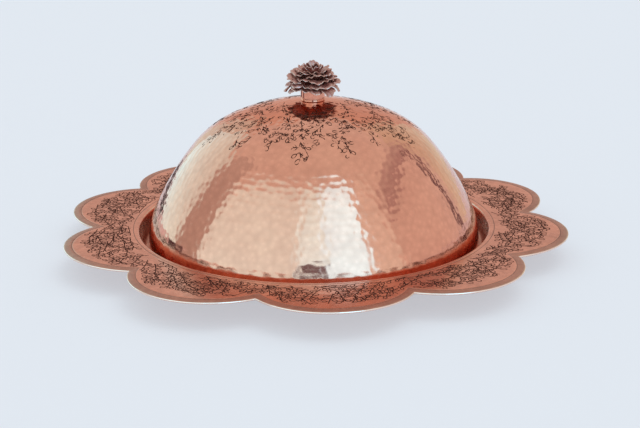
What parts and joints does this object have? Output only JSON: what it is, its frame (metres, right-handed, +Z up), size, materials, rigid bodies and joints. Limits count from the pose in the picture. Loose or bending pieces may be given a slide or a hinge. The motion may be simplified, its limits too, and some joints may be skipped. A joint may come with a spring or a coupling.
{
  "type": "cloche plate",
  "caption": "Copper serving plate with a petal-shaped rim and a sunken well, under a high domed lid that lifts off by a ruffled flower knob.",
  "frame": {"origin": "on the table under the plate's centre", "axes": "+Z up along the axis of plate and lid, +X through the tip of a petal"},
  "size_m": [0.36, 0.3478, 0.1326],
  "materials": {
    "plate_copper": "polished copper with dark engraving",
    "lid_copper": "polished copper with fine hammer marks and dark engraving",
    "knob_copper": "bright polished copper",
    "flower_patina": "dark brown patina, rubbed bright on the edges",
    "fastener_brass": "plain brass"
  },
  "bodies": {
    "plate": {"plate": "plate_copper"},
    "lid": {"dome_shell": "lid_copper", "knob_ferrule": "knob_copper", "petal_ring_1": "flower_patina", "petal_ring_2": "flower_patina", "petal_ring_3": "flower_patina", "petal_ring_4": "flower_patina", "petal_ring_5": "flower_patina", "petal_ring_6": "flower_patina", "flower_bud": "flower_patina", "knob_stud": "fastener_brass", "inner_washer": "fastener_brass", "inner_nut": "fastener_brass"}
  },
  "joints": [
    {"name": "lid_lift", "type": "slide", "parent": "plate", "child": "lid", "axis": [0, 0, 1], "range_m": [0, 0.2]}
  ]
}
